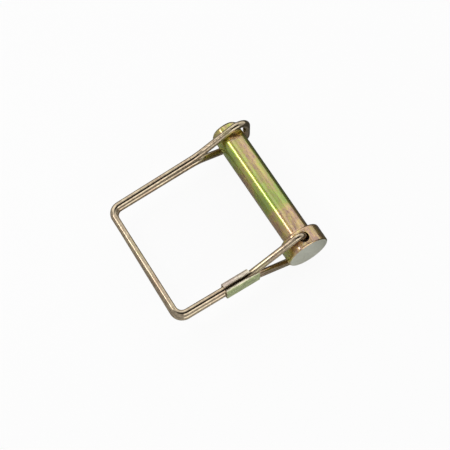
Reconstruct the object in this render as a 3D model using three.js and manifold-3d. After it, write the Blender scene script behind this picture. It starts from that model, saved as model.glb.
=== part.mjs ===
// Square two-wire hitch pin lock: a headed pin, and a doubled spring-wire retainer that swings on it.
// Millimetres. The pin lies along +Y with its head face at the origin, the retainer's frame spreads
// towards -X in the XY plane, and +Z is the swing axis, through the cross hole of the head.
import * as THREE from 'three';
import { mergeVertices } from 'three/addons/utils/BufferGeometryUtils.js';
import Module from 'manifold-3d';

const wasm = await Module();
wasm.setup();

// Pin
const SHANK_DIAMETER = 9.525;
const SHANK_LENGTH = 44.7;
const TIP_CHAMFER = 0.75;
const HEAD_DIAMETER = 14.6;
const HEAD_THICKNESS = 6.5;
const HEAD_FACE_CHAMFER = 0.35;
const HEAD_BACK_ROUND = 0.9;
const NECK_FILLET = 0.9;
const HOLE_CLEARANCE = 0.5;
const HOLE_FROM_FACE = 3.2;
const HOLE_MOUTH_CHAMFER = 0.3;

// Retainer wire
const WIRE_DIAMETER = 2.4;
const FRAME_DEPTH = 47.1;
const FRAME_FLARE = 0.5;
const ARM_TOE_IN = 0.8;
const LOOP_FROM_TIP = 4;
const CORNER_BEND = 3.2;
const LOOP_BEND = 4.4;
const EYE_BEND = 2.2;
const EYE_CORNER_RISE = 0.73;
const EYE_SEAT = 0.2;
const END_LENGTH_IN_HOLE = 3.8;
const STRAND_GAP_SIDE_TOP = 0.05;
const STRAND_GAP_SIDE_BOTTOM = 0.8;
const STRAND_GAP_SPLIT = 1.2;
const SPLIT_FROM_SHANK = 8.4;
const HEAD_SIDE_CLEARANCE = 1.1;
const WIRE_TO_SHANK_GAP = 0.3;
const LOOP_SLACK = 4;
const LOWER_STRAND_TUCK = 0.5;
const SPREAD_BEND = 4 * WIRE_DIAMETER;
const SPLIT_BEND = 6 * WIRE_DIAMETER;

// Crimp sleeve
const SLEEVE_LENGTH = 12.4;
const SLEEVE_FROM_AXIS = 17.8;
const SLEEVE_SHEET = 0.54;
const SLEEVE_FIT = 0.36;
const SLEEVE_SEAM = 1.1;
const SLEEVE_SEAM_LEAN = THREE.MathUtils.degToRad(20);
const SLEEVE_STRAND_GAP = 0.6;
const SLEEVE_LIP_CUT = 3;
const SLEEVE_LIP_DROP = 2.3;
const TOUCH_GAP = 0.3;

// The share of the sleeve's length over which the strands spread apart inside it
const SPREAD_SHARE = 0.25;

// Facet counts
const PIN_SIDES = 64;
const HOLE_SIDES = 32;
const WIRE_SIDES = 16;
const STEPS_PER_BEND = 6;
const STEPS_PER_ROUND = 4;
const STEPS_PER_SLEEVE_ARC = 8;

// Corners nearer than this are one corner
const MERGE_DISTANCE = 1e-4;

// The share of a straight side that its bends may use up
const ROOM = 0.98;

const shankRadius = SHANK_DIAMETER / 2;
const headRadius = HEAD_DIAMETER / 2;
const wireRadius = WIRE_DIAMETER / 2;
const holeRadius = wireRadius + HOLE_CLEARANCE;
const tipY = HEAD_THICKNESS + SHANK_LENGTH;
const loopY = tipY - LOOP_FROM_TIP;
const armY = HOLE_FROM_FACE + EYE_SEAT;

/** Joins equal corners so that a geometry becomes one solid for cutting and joining. */
function toSolid(geometry) {
  const bare = geometry.clone();
  bare.deleteAttribute('normal');
  bare.deleteAttribute('uv');
  const merged = mergeVertices(bare, MERGE_DISTANCE);
  const mesh = new wasm.Mesh({
    numProp: 3,
    vertProperties: Float32Array.from(merged.attributes.position.array),
    triVerts: Uint32Array.from(merged.index.array),
  });
  return new wasm.Manifold(mesh);
}

/** Gives a solid back as a geometry. */
function toGeometry(solid) {
  const { vertProperties, triVerts } = solid.getMesh();
  const geometry = new THREE.BufferGeometry();
  geometry.setAttribute('position', new THREE.BufferAttribute(vertProperties, 3));
  geometry.setIndex(new THREE.BufferAttribute(triVerts, 1));
  geometry.computeVertexNormals();
  return geometry;
}

/** Points of a quarter round from one angle to another, as [radius from the axis, place along it]. */
function quarter(centreRadius, centreY, radius, fromAngle, toAngle) {
  const points = [];
  for (let step = 0; step <= STEPS_PER_ROUND; step += 1) {
    const angle = THREE.MathUtils.lerp(fromAngle, toAngle, step / STEPS_PER_ROUND);
    const point = new THREE.Vector2(
      centreRadius + radius * Math.cos(angle),
      centreY + radius * Math.sin(angle),
    );
    points.push(point);
  }
  return points;
}

/** The pin: head, neck fillet, shank and chamfered tip in one forging, cross-drilled for the wire. */
function makePin() {
  const neckRadius = shankRadius + NECK_FILLET;
  const backRadius = headRadius - HEAD_BACK_ROUND;
  const backY = HEAD_THICKNESS - HEAD_BACK_ROUND;
  const profile = [
    new THREE.Vector2(0, 0),
    new THREE.Vector2(headRadius - HEAD_FACE_CHAMFER, 0),
    new THREE.Vector2(headRadius, HEAD_FACE_CHAMFER),
    ...quarter(backRadius, backY, HEAD_BACK_ROUND, 0, Math.PI / 2),
    ...quarter(neckRadius, HEAD_THICKNESS + NECK_FILLET, NECK_FILLET, 1.5 * Math.PI, Math.PI),
    new THREE.Vector2(shankRadius, tipY - TIP_CHAMFER),
    new THREE.Vector2(shankRadius - TIP_CHAMFER, tipY),
    new THREE.Vector2(0, tipY),
  ];
  const body = toSolid(new THREE.LatheGeometry(profile, PIN_SIDES));
  return toGeometry(body.subtract(crossHole()));
}

/** The cutter for the cross hole: a through hole with a small chamfer at each mouth. */
function crossHole() {
  const mouthRadius = holeRadius + HOLE_MOUTH_CHAMFER;
  const past = headRadius + HOLE_MOUTH_CHAMFER;
  const inner = headRadius - 2 * HOLE_MOUTH_CHAMFER;
  const profile = [
    new THREE.Vector2(0, -past),
    new THREE.Vector2(mouthRadius, -past),
    new THREE.Vector2(mouthRadius, -headRadius + HOLE_MOUTH_CHAMFER),
    new THREE.Vector2(holeRadius, -inner),
    new THREE.Vector2(holeRadius, inner),
    new THREE.Vector2(mouthRadius, headRadius - HOLE_MOUTH_CHAMFER),
    new THREE.Vector2(mouthRadius, past),
    new THREE.Vector2(0, past),
  ];
  const cutter = new THREE.LatheGeometry(profile, HOLE_SIDES);
  cutter.rotateX(Math.PI / 2);
  cutter.translate(0, HOLE_FROM_FACE, 0);
  return toSolid(cutter);
}

/** A polyline with stations only where the wire starts, ends or bends. */
class WirePath extends THREE.Curve {
  constructor(stations) {
    super();
    this.stations = stations;
  }

  get steps() {
    return this.stations.length - 1;
  }

  getPoint(t, target = new THREE.Vector3()) {
    const place = THREE.MathUtils.clamp(t, 0, 1) * this.steps;
    const index = Math.min(Math.floor(place), this.steps - 1);
    return target.lerpVectors(this.stations[index], this.stations[index + 1], place - index);
  }

  getUtoTmapping(u) {
    return u;
  }
}

/** Rounds each corner of a run of {at, bend} corners, with an arc that is tangent to both sides. */
function roundCorners(corners) {
  const stations = [corners[0].at.clone()];
  for (let i = 1; i < corners.length - 1; i += 1) {
    const corner = corners[i].at;
    const back = corners[i - 1].at.clone().sub(corner);
    const ahead = corners[i + 1].at.clone().sub(corner);
    const backLength = back.length();
    const aheadLength = ahead.length();
    back.normalize();
    ahead.normalize();
    const halfAngle = back.angleTo(ahead) / 2;
    const backRoom = corners[i - 1].bend > 0 ? backLength / 2 : backLength;
    const aheadRoom = corners[i + 1].bend > 0 ? aheadLength / 2 : aheadLength;
    const cut = Math.min(corners[i].bend / Math.tan(halfAngle), backRoom * ROOM, aheadRoom * ROOM);
    const radius = cut * Math.tan(halfAngle);
    const inward = back.clone().add(ahead).normalize();
    const centre = corner.clone().addScaledVector(inward, radius / Math.sin(halfAngle));
    const start = corner.clone().addScaledVector(back, cut).sub(centre);
    const end = corner.clone().addScaledVector(ahead, cut).sub(centre);
    const turn = Math.PI - 2 * halfAngle;
    const axis = start.clone().cross(end).normalize();
    const steps = Math.max(2, Math.ceil((turn / (Math.PI / 2)) * STEPS_PER_BEND));
    for (let step = 0; step <= steps; step += 1) {
      const arm = start.clone().applyAxisAngle(axis, (turn * step) / steps);
      stations.push(arm.add(centre));
    }
  }
  stations.push(corners[corners.length - 1].at.clone());
  return stations;
}

/** Half the space between the two strands' centre lines, for a given gap between their surfaces. */
function strandOffset(gap) {
  return wireRadius + gap / 2;
}

/**
 * The corners of one strand, from its end in the cross hole to the middle of the loop round the tip.
 * side is +1 for the strand above the frame's plane and -1 for the one below it.
 */
function strandCorners(side) {
  const eyeZ = headRadius + HEAD_SIDE_CLEARANCE + wireRadius + EYE_CORNER_RISE;
  const loopCornerZ = shankRadius + wireRadius + LOOP_SLACK;
  const loopBackX = shankRadius + wireRadius + WIRE_TO_SHANK_GAP;
  const sleeveZ = strandOffset(SLEEVE_STRAND_GAP);
  const sleeveFarX = -SLEEVE_FROM_AXIS - SLEEVE_LENGTH;
  const spreadX = -SLEEVE_FROM_AXIS - SLEEVE_LENGTH * SPREAD_SHARE;
  const nearX = -FRAME_DEPTH - FRAME_FLARE;
  const farX = -FRAME_DEPTH + FRAME_FLARE + (side < 0 ? LOWER_STRAND_TUCK : 0);
  const nearZ = strandOffset(STRAND_GAP_SIDE_BOTTOM);
  const farZ = strandOffset(STRAND_GAP_SIDE_TOP);
  const splitX = -shankRadius - SPLIT_FROM_SHANK;
  const at = (x, y, z) => new THREE.Vector3(x, y, side * z);
  return [
    { at: at(-EYE_SEAT, armY, headRadius - END_LENGTH_IN_HOLE), bend: 0 },
    { at: at(-EYE_SEAT, armY, eyeZ), bend: EYE_BEND },
    { at: at(spreadX, armY, sleeveZ), bend: SPREAD_BEND },
    { at: at(sleeveFarX, armY, sleeveZ), bend: SPREAD_BEND },
    { at: at(nearX, armY, nearZ), bend: CORNER_BEND },
    { at: at(farX, loopY - ARM_TOE_IN, farZ), bend: CORNER_BEND },
    { at: at(splitX, loopY, strandOffset(STRAND_GAP_SPLIT)), bend: SPLIT_BEND },
    { at: at(loopBackX, loopY, loopCornerZ), bend: LOOP_BEND },
    { at: at(loopBackX, loopY, 0), bend: 0 },
  ];
}

/** The whole wire's centre line, from the end above the frame's plane, round the tip, to the other end. */
function wireStations() {
  const above = roundCorners(strandCorners(1));
  const below = roundCorners(strandCorners(-1)).reverse();
  return [...above, ...below.slice(1)];
}

/** A round rod of a given radius along stations. */
function sweep(stations, radius) {
  const section = new THREE.Shape();
  for (let side = 0; side < WIRE_SIDES; side += 1) {
    const angle = (2 * Math.PI * side) / WIRE_SIDES;
    const x = radius * Math.cos(angle);
    const y = radius * Math.sin(angle);
    if (side === 0) {
      section.moveTo(x, y);
    } else {
      section.lineTo(x, y);
    }
  }
  section.closePath();
  const path = new WirePath(stations);
  return new THREE.ExtrudeGeometry(section, { steps: path.steps, bevelEnabled: false, extrudePath: path });
}

/**
 * The crimp sleeve: a strip of sheet bent round both strands. Its seam runs along the top, leaning towards
 * the head's face. The lip on the loop's side is cut back where the upper strand climbs out to the head.
 */
function makeSleeve() {
  const innerHalf = wireRadius + SLEEVE_FIT;
  const outerHalf = innerHalf + SLEEVE_SHEET;
  const roundZ = strandOffset(SLEEVE_STRAND_GAP);
  const seamAngle = Math.PI / 2 + SLEEVE_SEAM_LEAN;
  const lipInner = Math.asin(SLEEVE_SEAM / 2 / innerHalf);
  const lipOuter = Math.asin(SLEEVE_SEAM / 2 / outerHalf);
  const outline = new THREE.Shape();
  outline.absarc(0, roundZ, outerHalf, seamAngle - lipOuter, 0, true);
  outline.absarc(0, -roundZ, outerHalf, 0, Math.PI, true);
  outline.absarc(0, roundZ, outerHalf, Math.PI, seamAngle + lipOuter, true);
  outline.absarc(0, roundZ, innerHalf, seamAngle + lipInner, Math.PI, false);
  outline.absarc(0, -roundZ, innerHalf, Math.PI, 2 * Math.PI, false);
  outline.absarc(0, roundZ, innerHalf, 0, seamAngle - lipInner, false);
  outline.closePath();
  const strip = new THREE.ExtrudeGeometry(outline, {
    depth: SLEEVE_LENGTH,
    bevelEnabled: false,
    curveSegments: STEPS_PER_SLEEVE_ARC,
  });
  strip.rotateX(Math.PI / 2);
  strip.rotateZ(Math.PI / 2);
  strip.translate(-SLEEVE_FROM_AXIS - SLEEVE_LENGTH, armY, 0);
  const seamY = outerHalf * Math.cos(seamAngle);
  const cutTop = outerHalf + TOUCH_GAP;
  const lipCut = new THREE.BoxGeometry(2 * SLEEVE_LIP_CUT, cutTop - seamY, cutTop + SLEEVE_LIP_DROP);
  lipCut.translate(-SLEEVE_FROM_AXIS, armY + (cutTop + seamY) / 2, roundZ + (cutTop - SLEEVE_LIP_DROP) / 2);
  let sleeve = toSolid(strip).subtract(toSolid(lipCut));
  for (const side of [1, -1]) {
    const strandClearance = sweep(roundCorners(strandCorners(side)), wireRadius + TOUCH_GAP);
    sleeve = sleeve.subtract(toSolid(strandClearance));
  }
  return toGeometry(sleeve);
}

/** A named part with its own plated finish. */
function part(name, geometry, color, roughness) {
  const material = new THREE.MeshStandardMaterial({ color, roughness, metalness: 1 });
  const mesh = new THREE.Mesh(geometry, material);
  mesh.name = name;
  return mesh;
}

const hitchPinLock = new THREE.Group();
hitchPinLock.name = 'hitch_pin_lock';
hitchPinLock.add(part('pin', makePin(), 0xb9a65a, 0.3));
hitchPinLock.add(part('retainer_wire', sweep(wireStations(), wireRadius), 0xb49c72, 0.34));
hitchPinLock.add(part('crimp_sleeve', makeSleeve(), 0xa3a27c, 0.4));

export default hitchPinLock;
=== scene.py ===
"""Looks of a square two-wire hitch pin lock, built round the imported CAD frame.

The pin lies along +Y with its head face at the origin, the retainer's square frame spreads towards -X in the
XY plane, and the retainer swings about +Z, through the cross hole of the head. Lengths are in metres.
"""

import logging
import math
from dataclasses import dataclass
from enum import Enum
from typing import Sequence

import bmesh
import bpy
from bmesh.types import BMEdge, BMesh, BMVert
from bpy.types import Material, Node, NodeTree, Object
from mathutils import Matrix, Vector


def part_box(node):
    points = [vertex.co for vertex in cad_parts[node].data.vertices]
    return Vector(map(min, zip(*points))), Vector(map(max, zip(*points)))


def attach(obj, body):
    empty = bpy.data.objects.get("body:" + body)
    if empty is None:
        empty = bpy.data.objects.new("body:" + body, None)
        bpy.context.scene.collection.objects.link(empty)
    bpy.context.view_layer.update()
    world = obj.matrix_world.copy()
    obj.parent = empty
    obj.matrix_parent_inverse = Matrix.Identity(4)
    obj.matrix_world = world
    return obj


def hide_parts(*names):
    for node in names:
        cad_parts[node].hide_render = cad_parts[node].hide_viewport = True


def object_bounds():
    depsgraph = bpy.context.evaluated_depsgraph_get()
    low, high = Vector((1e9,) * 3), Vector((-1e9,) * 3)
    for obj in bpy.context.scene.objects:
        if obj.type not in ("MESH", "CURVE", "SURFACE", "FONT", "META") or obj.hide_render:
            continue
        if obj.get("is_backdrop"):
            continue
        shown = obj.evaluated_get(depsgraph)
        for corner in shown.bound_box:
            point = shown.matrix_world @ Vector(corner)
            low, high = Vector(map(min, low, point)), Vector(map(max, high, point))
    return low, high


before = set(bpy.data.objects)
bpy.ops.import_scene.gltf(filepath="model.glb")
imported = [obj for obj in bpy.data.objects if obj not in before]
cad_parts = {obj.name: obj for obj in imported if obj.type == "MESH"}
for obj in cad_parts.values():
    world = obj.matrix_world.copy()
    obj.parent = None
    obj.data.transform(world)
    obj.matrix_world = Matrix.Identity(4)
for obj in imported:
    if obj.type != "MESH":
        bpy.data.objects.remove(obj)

Point = tuple[float, float]
Triple = tuple[float, float, float]
Socket = bpy.types.NodeSocket

LOG = logging.getLogger("hitch_pin_lock")
MM = 0.001
QUARTER_TURN = math.pi / 2
ALONG_PIN = Vector((0, 1, 0))
ALONG_HOLE = Vector((0, 0, 1))
MERGE_DISTANCE = 1e-7
CORNER_STEPS = 8


class Grade(Enum):
    """How a piece takes the plating: each grade has its own ramp of tints."""

    PIN = "pin"
    WIRE = "wire"
    SLEEVE = "sleeve"


TINTS: dict[Grade, tuple[tuple[float, Triple], ...]] = {
    Grade.PIN: (
        (0.00, (0.48, 0.26, 0.16)),
        (0.15, (0.64, 0.365, 0.17)),
        (0.32, (0.66, 0.455, 0.14)),
        (0.48, (0.60, 0.500, 0.08)),
        (0.62, (0.48, 0.500, 0.04)),
        (0.80, (0.39, 0.530, 0.02)),
        (1.00, (0.27, 0.380, 0.02)),
    ),
    Grade.WIRE: (
        (0.00, (0.44, 0.29, 0.19)),
        (0.28, (0.56, 0.42, 0.29)),
        (0.50, (0.61, 0.50, 0.35)),
        (0.74, (0.52, 0.45, 0.24)),
        (1.00, (0.42, 0.38, 0.17)),
    ),
    Grade.SLEEVE: (
        (0.00, (0.78, 0.64, 0.54)),
        # This pale cream stop gives the painted highlight along the sleeve's ridge.
        (0.25, (0.88, 0.80, 0.62)),
        (0.50, (0.76, 0.74, 0.48)),
        (0.75, (0.62, 0.70, 0.36)),
        (1.00, (0.52, 0.64, 0.30)),
    ),
}
FACE_TINT = (0.76, 0.78, 0.62)
FACE_METALLIC = 0.35
COAT_IOR = 2.2
COAT_ROUGHNESS = 0.06
# Dark brown of the plating's pits, and also the colour of the painted shade on the wire.
PIT_AND_SHADE_TINT = (0.12, 0.075, 0.035)
# Pale colour and share of the painted highlight on edges that stand out.
EDGE_HIGHLIGHT_TINT = (0.76, 0.70, 0.58)
EDGE_HIGHLIGHT_SHARE = 0.45
MOTTLE_SHADE = (0.70, 1.22)
GRAIN_HEIGHT = 0.5
BUMP_DEPTH = 0.05 * MM

WHITE = (1.0, 1.0, 1.0)
HOOD_DARK = (0.03, 0.03, 0.03)
HOOD_AXIS = Vector((0.12, -0.23, 0.966)).normalized()
DOME_GREYS = ((0.0, 0.30), (0.48, 0.44), (0.62, 0.46), (1.0, 0.40))
# What the floor lights and reflects: painted shade along the pin, the paler floor in front of the head face,
# and a painted shadow on the pin's +X side.
FLOOR_SHADE_TINT = (0.52, 0.51, 0.49)
FLOOR_FRONT_TINT = (0.80, 0.80, 0.78)
FLOOR_SHADOW_TINT = (0.13, 0.13, 0.12)


# Mesh helpers


def bent_corner(points: Sequence[Vector], corner: int, bend: float, steps_per_quarter: int) -> list[Vector]:
    """Rounds one corner of a run of points with an arc that is tangent to both sides.

    Args:
        points: The run of corners.
        corner: The index of the corner to round.
        bend: The radius of the arc.
        steps_per_quarter: How many chords a quarter turn has.

    Returns:
        The points of the arc, from the side before the corner to the side after it.
    """
    here = points[corner]
    back = (points[corner - 1] - here).normalized()
    ahead = (points[corner + 1] - here).normalized()
    half = back.angle(ahead) / 2
    cut = bend / math.tan(half)
    centre = here + (back + ahead).normalized() * (bend / math.sin(half))
    start = here + back * cut - centre
    end = here + ahead * cut - centre
    turn = math.pi - 2 * half
    axis = start.cross(end).normalized()
    steps = max(3, math.ceil(turn / QUARTER_TURN * steps_per_quarter))
    return [centre + Matrix.Rotation(turn * k / steps, 3, axis) @ start for k in range(steps + 1)]


def rounded_outline(corners: Sequence[Point], radius: float) -> list[Point]:
    """Rounds the inner corners of an outline.

    Args:
        corners: The outline's corners, first to last.
        radius: The radius of each round.

    Returns:
        The first corner, the points of the rounds and the last corner.
    """
    run = [Vector((*corner, 0.0)) for corner in corners]
    inner = [p for index in range(1, len(run) - 1) for p in bent_corner(run, index, radius, CORNER_STEPS)]
    return [corners[0], *((p.x, p.y) for p in inner), corners[-1]]


def arc(centre: Point, radius: float, start: float, end: float, steps: int) -> list[Point]:
    """Gives points of an arc in a plane.

    Args:
        centre: The arc's centre.
        radius: Its radius.
        start: Its first angle, in radians.
        end: Its last angle, in radians.
        steps: How many chords it has.

    Returns:
        The points, first to last.
    """
    angles = [start + (end - start) * k / steps for k in range(steps + 1)]
    return [(centre[0] + radius * math.cos(a), centre[1] + radius * math.sin(a)) for a in angles]


def stretch(points: Sequence[Sequence[float]], pitch: float) -> list[tuple[float, ...]]:
    """Adds points to the straight runs of a line, so that none is longer than a pitch.

    Args:
        points: The line's points, in a plane or in space.
        pitch: The longest straight run to leave.

    Returns:
        The line with its added points.
    """
    out = [tuple(points[0])]
    for before, after in zip(points, points[1:]):
        parts = max(1, math.ceil(math.dist(before, after) / pitch))
        for k in range(1, parts + 1):
            out.append(tuple(b + (a - b) * k / parts for b, a in zip(before, after)))
    return out


def spun(outline: Sequence[Point], axis: Vector, centre: Vector, segments: int) -> BMesh:
    """Spins an outline of (radius, place along the axis) once round an axis.

    Args:
        outline: The outline, from the axis to the axis.
        axis: The direction of the axis.
        centre: A point on the axis, where places along it are counted from.
        segments: How many steps the full turn has.

    Returns:
        The closed mesh, its poles merged and its faces pointing out.
    """
    bm = bmesh.new()
    across = axis.orthogonal().normalized()
    verts = [bm.verts.new(centre + across * radius + axis * along) for radius, along in outline]
    edges = [bm.edges.new(pair) for pair in zip(verts, verts[1:])]
    bmesh.ops.spin(
        bm, geom=verts + edges, cent=centre, axis=axis, angle=2 * math.pi, steps=segments, use_merge=True
    )
    bmesh.ops.remove_doubles(bm, verts=bm.verts[:], dist=MERGE_DISTANCE)
    bmesh.ops.recalc_face_normals(bm, faces=bm.faces[:])
    return bm


def finished(name: str, bm: BMesh, sharp_angle: float) -> Object:
    """Turns a mesh under construction into an object at the origin, smooth but for its sharp edges.

    Args:
        name: The object's name.
        bm: The mesh, which is freed.
        sharp_angle: The angle, in radians, above which an edge stays sharp.

    Returns:
        The object.
    """
    mesh = bpy.data.meshes.new(name)
    bm.to_mesh(mesh)
    bm.free()
    mesh.shade_smooth()
    mesh.set_sharp_from_angle(angle=sharp_angle)
    piece = bpy.data.objects.new(name, mesh)
    bpy.context.scene.collection.objects.link(piece)
    return piece


def cut_away(piece: Object, cutter: Object, sharp_angle: float) -> None:
    """Cuts one object's shape out of another, and removes the cutter.

    Args:
        piece: The object to cut.
        cutter: The object whose shape is taken out of it.
        sharp_angle: The angle, in radians, above which an edge of the result stays sharp.
    """
    boolean = piece.modifiers.new("cut", "BOOLEAN")
    boolean.operation = "DIFFERENCE"
    boolean.solver = "EXACT"
    boolean.object = cutter
    whole, spent = piece.data, cutter.data
    graph = bpy.context.evaluated_depsgraph_get()
    piece.data = bpy.data.meshes.new_from_object(piece.evaluated_get(graph))
    piece.modifiers.remove(boolean)
    bpy.data.objects.remove(cutter)
    for mesh in (whole, spent):
        bpy.data.meshes.remove(mesh)
    piece.data.name = piece.name
    piece.data.shade_smooth()
    piece.data.set_sharp_from_angle(angle=sharp_angle)


# Node helpers


class Graph:
    """A small wrapper that adds and joins shader nodes in one tree."""

    def __init__(self, tree: NodeTree) -> None:
        """Keeps the tree to work in."""
        self.tree = tree

    def feed(self, slot: Socket, term: object) -> None:
        """Gives an input its term.

        Args:
            slot: The input.
            term: An output to link it to, or a plain value.
        """
        if isinstance(term, Socket):
            self.tree.links.new(term, slot)
        else:
            slot.default_value = term

    def add(self, kind: str, **values: object) -> Node:
        """Adds a node, sets its properties and feeds its inputs.

        Args:
            kind: The node's type name, without the ShaderNode prefix.
            values: Properties by name, or inputs by their name with spaces as underscores.

        Returns:
            The node.
        """
        node = self.tree.nodes.new(f"ShaderNode{kind}")
        for key, value in values.items():
            if hasattr(node, key):
                setattr(node, key, value)
            else:
                self.feed(node.inputs[key.replace("_", " ")], value)
        return node

    def math(
        self, operation: str, *terms: object, kind: str = "Math", output: str | int = 0, **values: object
    ) -> Socket:
        """Adds a node that does sums.

        Args:
            operation: The operation's name.
            terms: Numbers, vectors or sockets, in order.
            kind: Math, or VectorMath for sums of vectors.
            output: Which of its outputs is wanted.
            values: Its other properties and inputs.

        Returns:
            The result's socket.
        """
        node = self.add(kind, operation=operation, **values)
        for slot, term in zip(node.inputs, terms):
            self.feed(slot, term)
        return node.outputs[output]

    def remap(
        self, value: Socket, old: Point = (0.0, 1.0), new: Point = (0.0, 1.0), kind: str = "LINEAR"
    ) -> Socket:
        """Adds a node that maps a value from one range to another and keeps it there.

        Args:
            value: The value.
            old: The range that it comes in.
            new: The range that it is brought to.
            kind: The kind of step between the two ends.

        Returns:
            The result's socket.
        """
        ends = {"From_Min": old[0], "From_Max": old[1], "To_Min": new[0], "To_Max": new[1]}
        return self.add("MapRange", interpolation_type=kind, Value=value, **ends).outputs["Result"]

    def effect(self, name: str, **values: object) -> Node:
        """Places a shared node group, and feeds its inputs."""
        return self.add("Group", node_tree=bpy.data.node_groups[name], **values)

    def mix(self, blend: str, share: object, first: object, second: object) -> Socket:
        """Adds a colour mix.

        Args:
            blend: The blend type.
            share: A number or socket, how much of the blend is used.
            first: A colour or socket.
            second: A colour or socket.

        Returns:
            The mixed colour's socket.
        """
        node = self.add("Mix", data_type="RGBA", blend_type=blend, Factor=share)
        colours = [slot for slot in node.inputs if slot.type == "RGBA"]
        for slot, term in zip(colours, (first, second)):
            self.feed(slot, (*term, 1.0) if isinstance(term, tuple) else term)
        return next(slot for slot in node.outputs if slot.type == "RGBA")

    def mix_shaders(self, share: object, first: Node, second: Node) -> Node:
        """Adds a mix of two shaders.

        Args:
            share: A number or socket, how much of the second is used.
            first: The first shader's node.
            second: The second shader's node.

        Returns:
            The mix's node.
        """
        node = self.add("MixShader", Fac=share)
        for slot, shader in zip(node.inputs[1:], (first, second)):
            self.feed(slot, shader.outputs[0])
        return node

    def ramp(self, source: Socket, stops: Sequence[tuple[float, Triple]]) -> Socket:
        """Adds a colour ramp with smooth steps.

        Args:
            source: The value that runs along the ramp.
            stops: (place, colour) pairs in order.

        Returns:
            The ramp's colour socket.
        """
        node = self.add("ValToRGB", Fac=source)
        node.color_ramp.interpolation = "EASE"
        elements = node.color_ramp.elements
        for index, (place, colour) in enumerate(stops):
            stop = elements[index] if index < len(elements) else elements.new(place)
            stop.position = place
            stop.color = (*colour, 1.0)
        return node.outputs["Color"]


def new_group(
    name: str, inputs: dict[str, float | None], outputs: Sequence[str]
) -> tuple[Graph, bpy.types.NodeOutputs, bpy.types.NodeInputs]:
    """Starts a shader node group that puts out values.

    Args:
        name: The group's name.
        inputs: The default of each input, or None for a vector.
        outputs: The names of the outputs.

    Returns:
        The group's graph, the sockets that bring its inputs and the sockets that take its outputs.
    """
    tree = bpy.data.node_groups.new(name, "ShaderNodeTree")
    for label, default in inputs.items():
        kind = "NodeSocketVector" if default is None else "NodeSocketFloat"
        socket = tree.interface.new_socket(label, in_out="INPUT", socket_type=kind)
        if default is not None:
            socket.default_value = default
    for label in outputs:
        tree.interface.new_socket(label, in_out="OUTPUT", socket_type="NodeSocketFloat")
    return Graph(tree), tree.nodes.new("NodeGroupInput").outputs, tree.nodes.new("NodeGroupOutput").inputs


def chromate_cloud() -> None:
    """Makes the film's thickness, from 0 to 1: a broad cloud, a finer mottle and a shift, added up."""
    scales = {"Cloud Scale": 120.0, "Mottle Scale": 900.0}
    inputs = {"Vector": None, **scales, "Cloud": 0.6, "Mottle": 0.25, "Shift": 0.5}
    graph, given, result = new_group("chromate_cloud", inputs, ("Value", "Shade"))
    cloud = graph.add("TexNoise", Scale=given["Cloud Scale"], Detail=2.5, Roughness=0.5, Distortion=0.9)
    mottle = graph.add("TexNoise", Scale=given["Mottle Scale"], Detail=3.0, Roughness=0.6, Distortion=0.3)
    parts = []
    for noise, amount in ((cloud, "Cloud"), (mottle, "Mottle")):
        graph.feed(noise.inputs["Vector"], given["Vector"])
        centred = graph.math("SUBTRACT", noise.outputs["Fac"], 0.5)
        parts.append(graph.math("MULTIPLY", centred, given[amount]))
    total = graph.math("ADD", graph.math("ADD", *parts), given["Shift"], use_clamp=True)
    graph.feed(result["Value"], total)
    graph.feed(result["Shade"], mottle.outputs["Fac"])


def tint_patch() -> None:
    """Makes one soft patch, a shift that fades out over the patch's radii: thicker or thinner film, and on
    the wire the mask of the painted shade.
    """
    inputs = {"Vector": None, "Centre": None, "Radii": None, "Shift": 0.0, "Value": 0.0}
    graph, given, result = new_group("tint_patch", inputs, ("Value",))
    away = graph.math("SUBTRACT", given["Vector"], given["Centre"], kind="VectorMath")
    scaled = graph.math("DIVIDE", away, given["Radii"], kind="VectorMath")
    length = graph.math("LENGTH", scaled, kind="VectorMath", output="Value")
    fade = graph.remap(length, old=(0.30, 1.0), new=(1.0, 0.0), kind="SMOOTHSTEP")
    shifted = graph.math("MULTIPLY", fade, given["Shift"])
    graph.feed(result["Value"], graph.math("ADD", given["Value"], shifted))


def drawn_grain() -> None:
    """Makes fine lines along the way the steel was drawn: noise, stretched by the vector that comes in."""
    graph, given, result = new_group("drawn_grain", {"Vector": None}, ("Height", "Rough"))
    lines = graph.add("TexNoise", Vector=given["Vector"], Scale=1.0, Detail=4.0, Roughness=0.65)
    graph.feed(result["Height"], lines.outputs["Fac"])
    graph.feed(result["Rough"], graph.remap(lines.outputs["Fac"], old=(0.35, 0.75)))


def plating_pits() -> None:
    """Makes sparse small pits and specks: the middles of scattered cells, thinned out by noise."""
    inputs = {"Vector": None, "Scale": 900.0, "Amount": 0.5}
    graph, given, result = new_group("plating_pits", inputs, ("Mask",))
    cells = graph.add("TexVoronoi", Vector=given["Vector"], Scale=given["Scale"])
    thin = graph.add("TexNoise", Vector=given["Vector"], Scale=260.0, Detail=2.0)
    spot = graph.remap(cells.outputs["Distance"], old=(0.10, 0.34), new=(1.0, 0.0))
    where = graph.remap(thin.outputs["Fac"], old=(0.52, 0.66))
    both = graph.math("MULTIPLY", spot, where)
    graph.feed(result["Mask"], graph.math("MULTIPLY", both, given["Amount"]))


def painted_edge_highlight() -> None:
    """Makes a painted highlight on edges that stand out: the given pointiness, broken up by noise."""
    graph, given, result = new_group("painted_edge_highlight", {"Pointiness": 0.5, "Vector": None}, ("Mask",))
    edge = graph.remap(given["Pointiness"], old=(0.51, 0.60))
    broken = graph.add("TexNoise", Vector=given["Vector"], Scale=700.0, Detail=3.0)
    patchy = graph.remap(broken.outputs["Fac"], old=(0.35, 0.6), new=(0.25, 1.0))
    graph.feed(result["Mask"], graph.math("MULTIPLY", edge, patchy))


# Finishes


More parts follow.
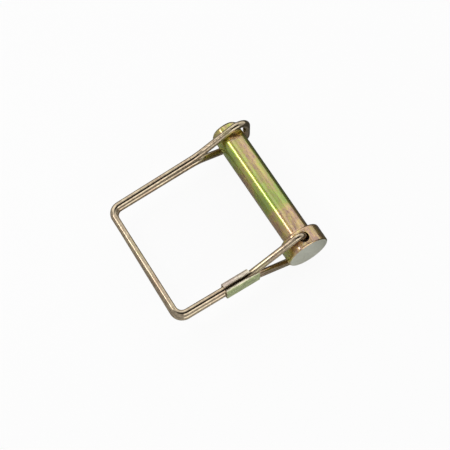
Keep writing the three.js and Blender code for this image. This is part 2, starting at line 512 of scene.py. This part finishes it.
@dataclass(frozen=True)
class Patch:
    """Where one tint patch lies.

    Attributes:
        centre: Its middle, in millimetres.
        radii: Its reach along X, Y and Z, in millimetres.
        shift: How far it moves the tint along the ramp, or, in a patch of painted shade, that shade's share.
    """

    centre: Triple
    radii: Triple
    shift: float

    def place(self, graph: Graph, where: Socket, value: object = 0.0) -> Socket:
        """Places the patch's group in a material.

        Args:
            graph: The material's graph.
            where: The coordinates to measure the patch in.
            value: The value that the patch is added to.

        Returns:
            The value with the patch.
        """
        node = graph.effect("tint_patch", Vector=where, Shift=self.shift, Value=value)
        graph.feed(node.inputs["Centre"], Vector(self.centre) * MM)
        graph.feed(node.inputs["Radii"], Vector(self.radii) * MM)
        return node.outputs["Value"]


@dataclass(frozen=True)
class PlatedFinish:
    """A yellow zinc chromate finish on steel.

    Attributes:
        name: The material's name.
        grade: Which ramp of tints it shows.
        cloud_scale: How fine the broad tints are.
        mottle_scale: How fine the mottling in them is.
        cloud: How much the broad tints vary.
        mottle: How much the mottling varies.
        along: How much the pattern is drawn out along X, Y and Z.
        grain: How fine the drawn lines are across X, Y and Z.
        roughness: The lowest and highest roughness.
        bump: The strength of the bump.
        shifts: (place along Y, shift) pairs that move the tints along the piece.
        patches: Where the film is thicker or thinner.
        painted_shade: Where painted shade darkens the tint, in the sleeve's seam and under the strands; the
            shift is its share.
        face_depth: How far from Y = 0 the pale satin face reaches, or 0 for none.
        metallic: How metallic the film looks away from that face.
        film: How much clear gloss lies over the tints.
        border_noise: (scale, reach in millimetres) of each noise that makes the tints' borders uneven.
    """

    name: str
    grade: Grade
    cloud_scale: float
    mottle_scale: float
    cloud: float
    mottle: float
    along: Triple
    grain: Triple
    roughness: Point
    bump: float
    shifts: tuple[Point, ...]
    patches: tuple[Patch, ...] = ()
    painted_shade: tuple[Patch, ...] = ()
    face_depth: float = 0.0
    metallic: float = 1.0
    film: float = 0.0
    border_noise: tuple[Point, ...] = ((260.0, 4.5), (1500.0, 2.2))

    def build(self) -> Material:
        """Makes the material.

        Returns:
            The material.
        """
        material = bpy.data.materials.new(self.name)
        material.use_nodes = True
        graph = Graph(material.node_tree)
        shader = material.node_tree.nodes["Principled BSDF"].inputs
        graph.feed(shader["Metallic"], self.metallic)
        graph.feed(shader["Coat Weight"], self.film)
        graph.feed(shader["Coat Roughness"], COAT_ROUGHNESS)
        graph.feed(shader["Coat IOR"], COAT_IOR)
        place = graph.add("TexCoord").outputs["Object"]
        tint = self.tint(graph, place)
        across = graph.add("Mapping", Vector=place, Scale=self.grain).outputs["Vector"]
        lines = graph.effect("drawn_grain", Vector=across)
        pits = graph.effect("plating_pits", Vector=place).outputs["Mask"]
        rough = graph.math("ADD", lines.outputs["Rough"], pits, use_clamp=True)
        if self.face_depth:
            depth = graph.add("SeparateXYZ", Vector=place).outputs["Y"]
            face = graph.remap(depth, old=(self.face_depth / 2, self.face_depth), new=(1.0, 0.0))
            tint = graph.mix("MIX", face, tint, FACE_TINT)
            rough = graph.math("ADD", rough, face)
            graph.feed(shader["Metallic"], graph.remap(face, new=(self.metallic, FACE_METALLIC)))
        graph.feed(shader["Base Color"], self.pitted_with_painted_light(graph, place, tint, pits))
        graph.feed(shader["Roughness"], graph.remap(rough, new=self.roughness))
        height = graph.math("SUBTRACT", graph.math("MULTIPLY", lines.outputs["Height"], GRAIN_HEIGHT), pits)
        bump = graph.add("Bump", Strength=self.bump, Distance=BUMP_DEPTH, Height=height)
        graph.feed(shader["Normal"], bump.outputs["Normal"])
        return material

    def tint(self, graph: Graph, place: Socket) -> Socket:
        """Makes the film's tint: the cloud, moved by the shifts and the patches, read off the ramp.

        Args:
            graph: The material's graph.
            place: The object coordinates.

        Returns:
            The tint's socket.
        """
        border = place
        for scale, reach in self.border_noise:
            noise = graph.add("TexNoise", Vector=border, Scale=scale, Detail=3.0, Roughness=0.6)
            centred = graph.math("SUBTRACT", noise.outputs["Color"], (0.5, 0.5, 0.5), kind="VectorMath")
            moved = graph.math("SCALE", centred, kind="VectorMath", Scale=reach * MM)
            border = graph.math("ADD", border, moved, kind="VectorMath")
        low, high = self.shifts[0][0], self.shifts[-1][0]
        share = graph.remap(graph.add("SeparateXYZ", Vector=border).outputs["Y"], old=(low, high))
        value = graph.ramp(share, [((y - low) / (high - low), (shift,) * 3) for y, shift in self.shifts])
        for patch in self.patches:
            value = patch.place(graph, border, value)
        cloud = graph.effect(
            "chromate_cloud",
            Vector=graph.add("Mapping", Vector=place, Scale=self.along).outputs["Vector"],
            Cloud_Scale=self.cloud_scale,
            Mottle_Scale=self.mottle_scale,
            Cloud=self.cloud,
            Mottle=self.mottle,
            Shift=value,
        )
        tint = graph.ramp(cloud.outputs["Value"], TINTS[self.grade])
        shade = graph.remap(cloud.outputs["Shade"], old=(0.3, 0.7), new=MOTTLE_SHADE)
        grey = graph.add("CombineColor", Red=shade, Green=shade, Blue=shade)
        return graph.mix("MULTIPLY", 1.0, tint, grey.outputs["Color"])

    def pitted_with_painted_light(self, graph: Graph, place: Socket, tint: Socket, pits: Socket) -> Socket:
        """Lays painted shade, pits and a painted edge highlight over a tint.

        Args:
            graph: The material's graph.
            place: The object coordinates.
            tint: The clean tint.
            pits: The mask of the pits.

        Returns:
            The tint's socket, with the painted shade, pits and painted edge highlight.
        """
        # Painted shade: darkens the patches where the strands shade each other.
        for patch in self.painted_shade:
            tint = graph.mix("MIX", patch.place(graph, place), tint, PIT_AND_SHADE_TINT)
        tint = graph.mix("MIX", pits, tint, PIT_AND_SHADE_TINT)
        # Painted highlight: makes edges that stand out paler.
        edge = graph.add("NewGeometry").outputs["Pointiness"]
        edge_highlight = graph.effect("painted_edge_highlight", Pointiness=edge, Vector=place)
        return graph.mix("MIX", graph.math("MULTIPLY", edge_highlight.outputs["Mask"], EDGE_HIGHLIGHT_SHARE), tint, EDGE_HIGHLIGHT_TINT)


# Pieces


@dataclass
class Pin:
    """The forged and plated pin: drilled head, neck fillet, shank and chamfered tip."""

    head_radius: float
    length: float
    head_thickness: float = 6.5 * MM
    shank_radius: float = 9.525 / 2 * MM
    face_chamfer: float = 0.35 * MM
    back_round: float = 0.9 * MM
    neck_fillet: float = 0.9 * MM
    tip_chamfer: float = 0.75 * MM
    edge_round: float = 0.25 * MM
    hole_radius: float = 1.7 * MM
    hole_from_face: float = 3.2 * MM
    mouth_round: float = 0.28 * MM
    ring_pitch: float = 0.35 * MM
    segments: int = 160
    hole_segments: int = 64
    back_steps: int = 8
    fillet_steps: int = 10
    mouth_steps: int = 6
    sharp_angle: float = math.radians(35)

    def outline(self) -> list[Point]:
        """Gives the pin's outline.

        Returns:
            (radius, place along the pin) pairs, from the middle of the head face to the middle of the tip.
        """
        head, shank, length = self.head_radius, self.shank_radius, self.length
        face_corners = [(0.0, 0.0), (head - self.face_chamfer, 0.0), (head, self.face_chamfer)]
        face = rounded_outline([*face_corners, (head, self.head_thickness / 2)], self.edge_round)
        back_centre = (head - self.back_round, self.head_thickness - self.back_round)
        back = arc(back_centre, self.back_round, 0, QUARTER_TURN, self.back_steps)
        neck = (shank + self.neck_fillet, self.head_thickness + self.neck_fillet)
        fillet = arc(neck, self.neck_fillet, 3 * QUARTER_TURN, 2 * QUARTER_TURN, self.fillet_steps)
        tip_corners = [(shank, length - self.tip_chamfer), (shank - self.tip_chamfer, length), (0.0, length)]
        tip = rounded_outline([(shank, length / 2), *tip_corners], self.edge_round)
        return stretch([*face[:-1], *back, *fillet, *tip[1:]], self.ring_pitch)

    def hole_outline(self) -> list[Point]:
        """Gives the outline of the cross hole's cutter: a straight hole with a trumpet at each mouth.

        Returns:
            (radius, place along the hole) pairs, from past one mouth to past the other.
        """
        reach = self.head_radius - self.mouth_round
        past = self.head_radius + self.mouth_round
        wide = self.hole_radius + self.mouth_round
        upper = arc((wide, reach), self.mouth_round, math.pi, QUARTER_TURN, self.mouth_steps)
        lower = [(r, -z) for r, z in reversed(upper)]
        straight = stretch([(self.hole_radius, -reach), (self.hole_radius, reach)], self.ring_pitch)
        return [(0.0, -past), (wide, -past), *lower, *straight[1:-1], *upper, (wide, past), (0.0, past)]

    def build(self) -> Object:
        """Spins the pin and drills its head.

        Returns:
            The pin.
        """
        bar = spun(self.outline(), ALONG_PIN, Vector(), self.segments)
        piece = finished("pin_forging", bar, self.sharp_angle)
        drill = spun(self.hole_outline(), ALONG_HOLE, ALONG_PIN * self.hole_from_face, self.hole_segments)
        cut_away(piece, finished("hole_cutter", drill, self.sharp_angle), self.sharp_angle)
        return piece

    def dress(self, piece: Object, material: Material) -> None:
        """Gives the pin its finish and its place in the frame.

        Args:
            piece: The pin.
            material: Its finish.
        """
        piece.data.materials.append(material)
        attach(piece, "pin")
        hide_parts("pin")


@dataclass
class RetainerWire:
    """The doubled spring wire: two strands from the head's hole, round the frame, to the loop at the tip."""

    head_radius: float
    tip_y: float
    radius: float = 1.2 * MM
    shank_radius: float = 9.525 / 2 * MM
    hole_from_face: float = 3.2 * MM
    seat: float = 0.2 * MM
    end_in_hole: float = 3.8 * MM
    end_round: float = 0.24 * MM
    end_shares: tuple[float, ...] = (0.72, 0.93)
    side_clearance: float = 1.1 * MM
    eye_bend: float = 2.2 * MM
    eye_rise: float = 0.73 * MM
    lower_tuck: float = 0.5 * MM
    corner_bend: float = 3.2 * MM
    sleeve_bend: float = 9.6 * MM
    split_bend: float = 14.4 * MM
    loop_bend: float = 4.4 * MM
    depth: float = 47.1 * MM
    flare: float = 0.5 * MM
    toe_in: float = 0.8 * MM
    loop_from_tip: float = 4.0 * MM
    loop_slack: float = 4.0 * MM
    loop_gap: float = 0.3 * MM
    split_from_shank: float = 8.4 * MM
    gap_top: float = 0.05 * MM
    gap_bottom: float = 0.8 * MM
    gap_split: float = 1.2 * MM
    gap_sleeve: float = 0.6 * MM
    sleeve_from_axis: float = 17.8 * MM
    sleeve_length: float = 12.4 * MM
    sides: int = 28
    steps_per_quarter: int = 14
    pitch: float = 1.2 * MM
    sharp_angle: float = math.radians(40)

    @property
    def arm_y(self) -> float:
        """The lower arm's place along the pin."""
        return self.hole_from_face + self.seat

    def offset(self, gap: float) -> float:
        """Half the space between the strands' centre lines, for a gap between their surfaces."""
        return self.radius + gap / 2

    def corners(self, side: int) -> list[tuple[Vector, float]]:
        """Lists the corners of one strand, from its end in the hole to the middle of the loop.

        Args:
            side: 1 for the upper strand, -1 for the lower one.

        Returns:
            (corner, bend radius) pairs.
        """
        eye_z = self.head_radius + self.side_clearance + self.radius + self.eye_rise
        loop_z = self.shank_radius + self.radius + self.loop_slack
        loop_x = self.shank_radius + self.radius + self.loop_gap
        loop_y = self.tip_y - self.loop_from_tip
        split_x = -self.shank_radius - self.split_from_shank
        sleeve_z = self.offset(self.gap_sleeve)
        side_top_x = -self.depth + self.flare + (self.lower_tuck if side < 0 else 0.0)
        far_x = -self.sleeve_from_axis - self.sleeve_length
        spread_x = -self.sleeve_from_axis - self.sleeve_length / 4
        places = [
            ((-self.seat, self.arm_y, self.head_radius - self.end_in_hole), 0.0),
            ((-self.seat, self.arm_y, eye_z), self.eye_bend),
            ((spread_x, self.arm_y, sleeve_z), self.sleeve_bend),
            ((far_x, self.arm_y, sleeve_z), self.sleeve_bend),
            ((-self.depth - self.flare, self.arm_y, self.offset(self.gap_bottom)), self.corner_bend),
            ((side_top_x, loop_y - self.toe_in, self.offset(self.gap_top)), self.corner_bend),
            ((split_x, loop_y, self.offset(self.gap_split)), self.split_bend),
            ((loop_x, loop_y, loop_z), self.loop_bend),
            ((loop_x, loop_y, 0.0), 0.0),
        ]
        return [(Vector((x, y, side * z)), bend) for (x, y, z), bend in places]

    def strand(self, side: int) -> list[Vector]:
        """Gives the stations of one strand, with its corners rounded and its straights divided.

        Args:
            side: 1 for the upper strand, -1 for the lower one.

        Returns:
            The stations, from the end in the hole to the middle of the loop.
        """
        points, bends = zip(*self.corners(side))
        turned = [points[0]]
        for index in range(1, len(points) - 1):
            turned += bent_corner(points, index, bends[index], self.steps_per_quarter)
        return [Vector(place) for place in stretch([*turned, points[-1]], self.pitch)]

    def frames(self) -> list[Matrix]:
        """Places a unit ring at every station, facing along the wire, and smaller rings at its rounded ends.

        Returns:
            The rings' matrices, from one end in the hole to the other.
        """
        first, *between, last = self.strand(1) + self.strand(-1)[-2::-1]
        inward = (between[0] - first).normalized() * self.end_round
        outward = (last - between[-1]).normalized() * self.end_round
        points = [first, first + inward / 2, first + inward, *between]
        points += [last - outward, last - outward / 2, last]
        tangents = [(b - a).normalized() for a, b in zip([first, *points], [*points[1:], last])]
        ends = [share * self.radius for share in self.end_shares]
        sizes = [*ends, *[self.radius] * (len(points) - 2 * len(ends)), *reversed(ends)]
        before = tangents[0]
        normal = before.orthogonal().normalized()
        frames = []
        for point, tangent, size in zip(points, tangents, sizes):
            normal = before.rotation_difference(tangent) @ normal
            turn = Matrix((normal, tangent.cross(normal), tangent)).transposed().to_4x4()
            frames.append(Matrix.Translation(point) @ turn @ Matrix.Diagonal((size, size, 1.0, 1.0)))
            before = tangent
        return frames

    def build(self) -> Object:
        """Makes the wire by extruding a ring from station to station.

        Returns:
            The wire.
        """
        frames = self.frames()
        bm = bmesh.new()
        bmesh.ops.create_circle(bm, cap_ends=True, radius=1.0, segments=self.sides, matrix=frames[0])
        edges = bm.edges[:]
        for before, after in zip(frames, frames[1:]):
            grown = bmesh.ops.extrude_edge_only(bm, edges=edges)["geom"]
            verts = [v for v in grown if isinstance(v, BMVert)]
            edges = [e for e in grown if isinstance(e, BMEdge) and all(v in verts for v in e.verts)]
            bmesh.ops.transform(bm, matrix=after @ before.inverted(), verts=verts)
        bmesh.ops.contextual_create(bm, geom=edges)
        bmesh.ops.recalc_face_normals(bm, faces=bm.faces[:])
        return finished("bent_wire", bm, self.sharp_angle)

    def dress(self, piece: Object, material: Material) -> None:
        """Gives the wire its finish and its place in the frame.

        Args:
            piece: The wire.
            material: Its finish.
        """
        piece.data.materials.append(material)
        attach(piece, "retainer")
        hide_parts("retainer_wire")


@dataclass
class CrimpSleeve:
    """The strip of sheet that is bent round both strands, its seam open between two lips.

    Attributes:
        back_lip: How far the loop side's lip turns in.
        front_lip: How far the head side's lip turns in, and front_lip_mouth the same at the head's end.
        lip_opening: Where along the sleeve that lip starts to open, as a share.
        waves: (height, pitch, phase) of the waves along each lip's edge, and end_wave the same at the ends.
    """

    wire: RetainerWire
    sheet: float = 0.75 * MM
    outer_radius: float = 2.1 * MM
    strand_gap: float = 0.6 * MM
    back_lip: float = math.radians(86)
    front_lip: float = math.radians(57)
    front_lip_mouth: float = math.radians(46)
    lip_opening: float = 0.55
    lip_cut: float = 3.1 * MM
    lip_drop: float = 2.3 * MM
    lip_slant: float = math.radians(8)
    waves: tuple[Triple, ...] = ((0.05 * MM, 9.0, 2.0), (0.03 * MM, 23.0, 1.0))
    end_wave: Triple = (0.06 * MM, 5.0, 1.0)
    edge_round: float = 0.14 * MM
    rim_angle: float = math.radians(60)
    sharp_angle: float = math.radians(50)
    columns: int = 60
    rows: int = 84

    @property
    def half_height(self) -> float:
        """How far the sleeve's two round ends stand from the strands' mid plane."""
        return self.wire.radius + self.strand_gap / 2

    @property
    def quarter(self) -> float:
        """The girth of a quarter turn of the outer surface."""
        return QUARTER_TURN * self.outer_radius

    def wrap(self, distance: float) -> Point:
        """Gives the (y, z) of a point of the strip at a distance along its girth from the middle of the web.

        Args:
            distance: The distance, negative on the head's side of the frame.

        Returns:
            The place in the sleeve's section.
        """
        radius, centre = self.outer_radius, self.half_height
        side = math.copysign(1.0, distance)
        left = abs(distance)
        if left < self.quarter:
            angle = left / radius
            return side * radius * math.sin(angle), -centre - radius * math.cos(angle)
        if left < self.quarter + 2 * centre:
            return side * radius, left - self.quarter - centre
        angle = (left - self.quarter - 2 * centre) / radius
        return side * radius * math.cos(angle), centre + radius * math.sin(angle)

    def reach(self, along: float, side: int) -> float:
        """Gives how far the strip reaches round from the middle of its web, at a place along the sleeve.

        Args:
            along: 0 at the end towards the side bar, 1 at the end towards the head.
            side: 1 for the lip on the loop's side, -1 for the lip on the head's side.

        Returns:
            The reach, as a distance along the girth.
        """
        turn = self.back_lip
        if side < 0:
            share = max(0.0, (along - self.lip_opening) / (1 - self.lip_opening))
            opened = share * share * (3 - 2 * share)
            turn = self.front_lip + (self.front_lip_mouth - self.front_lip) * opened
        wander = sum(height * math.sin(pitch * along + phase * side) for height, pitch, phase in self.waves)
        return self.quarter + 2 * self.half_height + turn * self.outer_radius + wander

    def strip(self) -> BMesh:
        """Wraps a flat grid round the strands.

        Returns:
            The sleeve's outer surface, its faces pointing out.
        """
        bm = bmesh.new()
        bmesh.ops.create_grid(bm, x_segments=self.columns, y_segments=self.rows, size=1.0)
        length, height, pitch, phase = self.wire.sleeve_length, *self.end_wave
        start = -self.wire.sleeve_from_axis - length
        for vert in bm.verts:
            along = (vert.co.x + 1) / 2
            across = vert.co.y
            y, z = self.wrap(across * self.reach(along, 1 if across > 0 else -1))
            wave = height * math.sin(pitch * across + phase) * (2 * along - 1)
            vert.co = Vector((start + along * length + wave, self.wire.arm_y + y, z))
        bmesh.ops.recalc_face_normals(bm, faces=bm.faces[:])
        middle = Vector((start + length / 2, self.wire.arm_y, 0.0))
        if sum(f.normal.dot(f.calc_center_median() - middle) for f in bm.faces) < 0:
            bmesh.ops.reverse_faces(bm, faces=bm.faces[:])
        return bm

    def lip_cutter(self) -> Object:
        """Makes the block that takes the end of the loop side's lip away, where the strands spread.

        Returns:
            The block.
        """
        depth = 4 * self.outer_radius
        floor = self.half_height - self.lip_drop
        middle = Vector((-self.wire.sleeve_from_axis, self.wire.arm_y + depth / 2, floor + depth / 2))
        bm = bmesh.new()
        bmesh.ops.create_cube(bm, size=1.0)
        bmesh.ops.scale(bm, verts=bm.verts[:], vec=Vector((2 * self.lip_cut, depth, depth)))
        bmesh.ops.rotate(bm, verts=bm.verts[:], matrix=Matrix.Rotation(self.lip_slant, 3, "Z"))
        bmesh.ops.translate(bm, verts=bm.verts[:], vec=middle)
        return finished("lip_cutter", bm, self.sharp_angle)

    def build(self) -> Object:
        """Thickens the wrapped strip, rounds its edges and cuts its lip back.

        Returns:
            The sleeve.
        """
        bm = self.strip()
        bmesh.ops.solidify(bm, geom=bm.faces[:], thickness=self.sheet)
        bmesh.ops.recalc_face_normals(bm, faces=bm.faces[:])
        rims = [e for e in bm.edges if len(e.link_faces) == 2 and e.calc_face_angle() > self.rim_angle]
        bmesh.ops.bevel(
            bm, geom=rims, offset=self.edge_round, segments=3, profile=0.5, affect="EDGES", material=-1
        )
        piece = finished("crimped_strip", bm, self.sharp_angle)
        cut_away(piece, self.lip_cutter(), self.sharp_angle)
        return piece

    def dress(self, piece: Object, material: Material) -> None:
        """Gives the sleeve its finish and its place in the frame.

        Args:
            piece: The sleeve.
            material: Its finish.
        """
        piece.data.materials.append(material)
        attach(piece, "retainer")
        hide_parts("crimp_sleeve")


# Stage


@dataclass(frozen=True)
class SoftBox:
    """An area light that faces the object.

    Attributes:
        name: The light's name.
        turn: How far it stands round the pin's axis from straight above, towards +X, in degrees.
        lean: How far it stands from there towards the pin's tip, in degrees.
        width: Its width round the pin's axis, in degrees as the object sees it.
        height: Its height along the pin, in degrees as the object sees it.
        radiance: How bright its face looks.
        reach: How far from the aim it stands, in metres.
    """

    name: str
    turn: float
    lean: float
    width: float
    height: float
    radiance: float
    reach: float = 0.8

    def build(self, aim: Vector) -> None:
        """Makes the light.

        Args:
            aim: The point that it faces.
        """
        data = bpy.data.lights.new(self.name, "AREA")
        data.shape = "RECTANGLE"
        data.size = 2 * self.reach * math.tan(math.radians(self.width / 2))
        data.size_y = 2 * self.reach * math.tan(math.radians(self.height / 2))
        data.energy = self.radiance * math.pi * data.size * data.size_y
        lamp = bpy.data.objects.new(self.name, data)
        turn, lean = math.radians(self.turn), math.radians(self.lean)
        flat = math.cos(lean)
        away = Vector((math.sin(turn) * flat, math.sin(lean), math.cos(turn) * flat))
        across = ALONG_PIN.cross(away).normalized()
        lamp.location = aim + away * self.reach
        lamp.rotation_mode = "QUATERNION"
        lamp.rotation_quaternion = Matrix((across, away.cross(across), away)).transposed().to_quaternion()
        lamp.visible_camera = False
        bpy.context.scene.collection.objects.link(lamp)


@dataclass
class Studio:
    """The pale floor, the soft boxes, the surround and the camera."""

    floor_z: float
    aim: Vector
    azimuth: float = math.radians(-32.465)
    elevation: float = math.radians(68.757)
    distance: float = 0.912
    lens: float = 225.06
    sensor: float = 36.0
    clip_near: float = 0.01
    clip_far: float = 20.0
    floor_reach: float = 3.0
    soft_boxes: tuple[SoftBox, ...] = (
        SoftBox("left_strip", turn=-34.5, lean=20, width=9, height=26, radiance=4.2, reach=0.16),
        SoftBox("middle_box", turn=-6, lean=26, width=17, height=30, radiance=0.76),
        SoftBox("back_box", turn=18, lean=26, width=31, height=30, radiance=0.50),
        SoftBox("far_box", turn=8, lean=60, width=60, height=34, radiance=0.80),
        SoftBox("right_box", turn=81, lean=18, width=48, height=60, radiance=0.42),
        SoftBox("right_strip", turn=49, lean=22, width=17, height=30, radiance=0.60, reach=0.3),
        SoftBox("front_box", turn=14, lean=-61, width=50, height=38, radiance=1.1),
    )

    def camera(self) -> None:
        """Makes the camera and sets it."""
        data = bpy.data.cameras.new("camera")
        data.lens = self.lens
        data.sensor_width = self.sensor
        data.clip_start = self.clip_near
        data.clip_end = self.clip_far
        flat = math.cos(self.elevation)
        around = (math.sin(self.azimuth) * flat, -math.cos(self.azimuth) * flat)
        back = Vector((*around, math.sin(self.elevation)))
        eye = bpy.data.objects.new("camera", data)
        eye.location = self.aim + back * self.distance
        eye.rotation_mode = "QUATERNION"
        eye.rotation_quaternion = (-back).to_track_quat("-Z", "Y")
        bpy.context.scene.collection.objects.link(eye)
        bpy.context.scene.camera = eye

    def surround(self) -> None:
        """Sets the world: white to the eye, and a soft grey dome, dark over the front, to what it lights."""
        world = bpy.data.worlds.new("surround")
        bpy.context.scene.world = world
        world.use_nodes = True
        graph = Graph(world.node_tree)
        place = graph.add("TexCoord").outputs["Generated"]
        upward = graph.add("SeparateXYZ", Vector=place).outputs["Z"]
        height = graph.math("ADD", graph.math("MULTIPLY", upward, 0.5), 0.5)
        dome = graph.ramp(height, [(share, (grey,) * 3) for share, grey in DOME_GREYS])
        facing = graph.math("DOT_PRODUCT", place, HOOD_AXIS, kind="VectorMath", output="Value")
        hood = graph.remap(facing, old=(0.80, 0.91), kind="SMOOTHSTEP")
        lit = graph.mix("MIX", hood, dome, HOOD_DARK)
        seen = graph.mix("MIX", graph.add("LightPath").outputs["Is Camera Ray"], lit, WHITE)
        graph.feed(world.node_tree.nodes["Background"].inputs["Color"], seen)

    def floor(self) -> None:
        """Lays the plain pale floor, close to white to the eye; to what it lights it has painted shade along
        the pin, a paler floor in front of the head face, and a painted shadow on the pin's +X side.
        """
        bm = bmesh.new()
        bmesh.ops.create_grid(bm, x_segments=1, y_segments=1, size=self.floor_reach)
        bmesh.ops.translate(bm, verts=bm.verts[:], vec=Vector((0, 0, self.floor_z)))
        ground = finished("floor", bm, math.pi)
        material = bpy.data.materials.new("pale_floor")
        material.use_nodes = True
        graph = Graph(material.node_tree)
        nodes = material.node_tree.nodes
        nodes.remove(nodes["Principled BSDF"])
        place = graph.add("SeparateXYZ", Vector=graph.add("TexCoord").outputs["Object"])
        # Painted shadow on the pin's +X side, and painted shade along the pin that gives way to a paler floor
        # in front of the head face.
        lee = graph.remap(place.outputs["X"], old=(2 * MM, 14 * MM), kind="SMOOTHSTEP")
        front = graph.remap(place.outputs["Y"], old=(4 * MM, -4 * MM), kind="SMOOTHSTEP")
        near = graph.mix("MIX", front, FLOOR_SHADE_TINT, FLOOR_FRONT_TINT)
        lit = graph.add("BsdfDiffuse", Color=graph.mix("MIX", lee, near, FLOOR_SHADOW_TINT))
        paper = graph.add("BsdfDiffuse", Color=(0.9, 0.9, 0.9, 1.0))
        white = graph.mix_shaders(0.90, paper, graph.add("Emission", Strength=1.02))
        choice = graph.mix_shaders(graph.add("LightPath").outputs["Is Camera Ray"], lit, white)
        graph.feed(nodes["Material Output"].inputs["Surface"], choice.outputs["Shader"])
        ground.data.materials.append(material)
        ground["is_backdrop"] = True

    def build(self) -> None:
        """Makes the whole stage."""
        self.camera()
        self.floor()
        self.surround()
        for soft_box in self.soft_boxes:
            soft_box.build(self.aim)


# Assembly


PIN_FINISH = PlatedFinish(
    name="pin_plating",
    grade=Grade.PIN,
    cloud_scale=170.0,
    mottle_scale=1000.0,
    cloud=0.45,
    mottle=1.25,
    along=(1.0, 0.40, 1.0),
    grain=(2600.0, 60.0, 2600.0),
    roughness=(0.24, 0.34),
    bump=0.06,
    shifts=(
        (0.0, 0.22), (7.0 * MM, 0.24), (13.5 * MM, 0.15), (15.6 * MM, 0.22), (18.4 * MM, 0.72),
        (22.0 * MM, 0.72), (28.0 * MM, 0.60), (40.0 * MM, 0.58), (44.0 * MM, 0.56), (51.2 * MM, 0.44),
    ),
    patches=(
        Patch((1.0, 37.5, 4.6), (2.1, 8.5, 3.0), -0.36),
        Patch((0.9, 27.0, 4.7), (1.7, 6.0, 3.0), -0.22),
        Patch((4.0, 32.0, 2.6), (1.9, 19.0, 3.2), 0.20),
        Patch((-3.9, 43.0, 2.7), (2.4, 8.0, 3.4), 0.24),
        Patch((-4.4, 29.0, 1.8), (1.8, 7.0, 3.0), -0.22),
        Patch((-3.7, 23.0, 2.9), (2.0, 7.0, 3.0), 0.16),
        Patch((-4.8, 28.0, -0.8), (1.7, 20.0, 2.4), -0.42),
        Patch((1.4, 45.4, 4.2), (3.6, 1.9, 3.0), -0.30),
        Patch((-3.0, 13.4, 3.7), (1.5, 4.0, 2.4), 0.34),
        Patch((1.9, 14.5, 4.4), (0.8, 3.4, 2.0), -0.22),
        Patch((-6.4, 3.0, 2.2), (2.8, 5.0, 5.4), 0.42),
        Patch((4.6, 4.0, 5.4), (2.4, 3.4, 3.0), 0.16),
        Patch((2.4, 2.0, 6.6), (1.5, 2.6, 2.0), -0.24),
        Patch((0.6, 50.6, 2.0), (2.4, 2.2, 3.4), -0.16),
    ),
    face_depth=0.08 * MM,
    film=1.0,
)
WIRE_FINISH = PlatedFinish(
    name="wire_plating",
    grade=Grade.WIRE,
    cloud_scale=110.0,
    mottle_scale=900.0,
    cloud=1.1,
    mottle=0.30,
    along=(1.0, 1.0, 1.0),
    grain=(500.0, 500.0, 500.0),
    roughness=(0.12, 0.20),
    bump=0.05,
    shifts=((0.0, 0.45), (MM, 0.45)),
    # Painted shade: darkens the strands inside the sleeve, the lower strand by the head and the lower strand
    # near the loop, where they lie in shade.
    painted_shade=(
        Patch((-24.0, 3.4, 2.4), (7.6, 3.0, 3.0), 0.90),
        Patch((-24.0, 3.4, -2.4), (7.6, 3.0, 3.0), 0.90),
        Patch((-11.0, 3.4, -5.0), (9.0, 3.0, 5.0), 0.45),
        Patch((-9.0, 47.2, -4.0), (8.0, 3.0, 4.5), 0.40),
    ),
)
SLEEVE_FINISH = PlatedFinish(
    name="sleeve_plating",
    grade=Grade.SLEEVE,
    cloud_scale=160.0,
    mottle_scale=1100.0,
    cloud=0.5,
    mottle=0.3,
    along=(0.6, 1.0, 1.0),
    grain=(120.0, 1800.0, 1800.0),
    roughness=(0.20, 0.40),
    bump=0.15,
    # Along Y the tint runs from green on the flank facing -Y, through a pale cream band that is a painted
    # highlight along the ridge, to pink towards +Y.
    shifts=((1.4 * MM, 0.80), (1.75 * MM, 0.62), (2.05 * MM, 0.22), (3.4 * MM, 0.12), (5.5 * MM, 0.04)),
    metallic=0.55,
    border_noise=((400.0, 0.6),),
)


def main() -> None:
    """Builds the stage and the three pieces."""
    logging.basicConfig(level=logging.INFO, format="%(name)s: %(message)s")
    cad_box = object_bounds()
    bpy.context.scene.view_settings.view_transform = "Standard"
    Studio(floor_z=cad_box[0][2], aim=Vector((-17.62, 22.74, -0.40)) * MM).build()
    for make_group in (chromate_cloud, tint_patch, drawn_grain, plating_pits, painted_edge_highlight):
        make_group()
    pin_low, pin_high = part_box("pin")
    head_radius = (pin_high[0] - pin_low[0]) / 2
    pin = Pin(head_radius=head_radius, length=pin_high[1])
    wire = RetainerWire(head_radius=head_radius, tip_y=pin_high[1])
    for part, finish in ((pin, PIN_FINISH), (wire, WIRE_FINISH), (CrimpSleeve(wire), SLEEVE_FINISH)):
        piece = part.build()
        part.dress(piece, finish.build())
        LOG.info("%s: %d faces, %s", piece.name, len(piece.data.polygons), finish.name)


if __name__ == "__main__":
    main()
